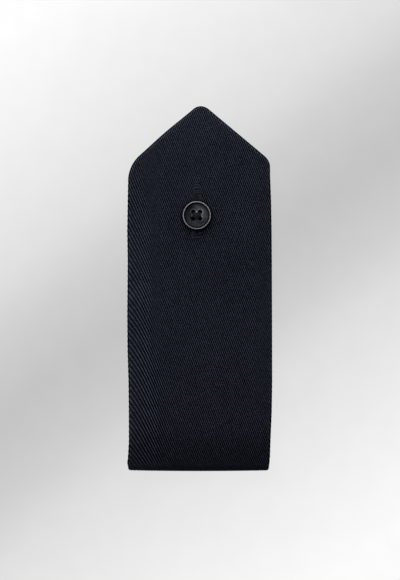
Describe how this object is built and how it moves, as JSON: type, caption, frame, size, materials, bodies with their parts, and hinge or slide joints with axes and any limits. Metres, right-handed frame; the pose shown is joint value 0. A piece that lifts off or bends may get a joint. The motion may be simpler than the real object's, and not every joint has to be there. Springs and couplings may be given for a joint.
{
  "type": "cloth shoulder strap with button",
  "caption": "Pointed navy twill shoulder strap for a uniform, folded into a loop and closed by a small four-hole button through a long buttonhole.",
  "frame": {"origin": "centre of the bounding box at its lowest height, on the surface that the under strap lies on", "axes": "+Y along the strap towards its point, +Z out of its face, +X to the right as the face is seen with its point up"},
  "size_m": [0.058, 0.146, 0.0092],
  "materials": {
    "strap": "matt navy twill with a steep diagonal rib",
    "buttonhole_sewing": "close buttonhole stitches in navy thread",
    "button": "polished smoke-grey polyester",
    "button_thread": "twisted navy sewing thread"
  },
  "bodies": {
    "root": {"strap": "strap", "buttonhole_sewing": "buttonhole_sewing", "button": "button", "button_thread": "button_thread"}
  },
  "joints": []
}
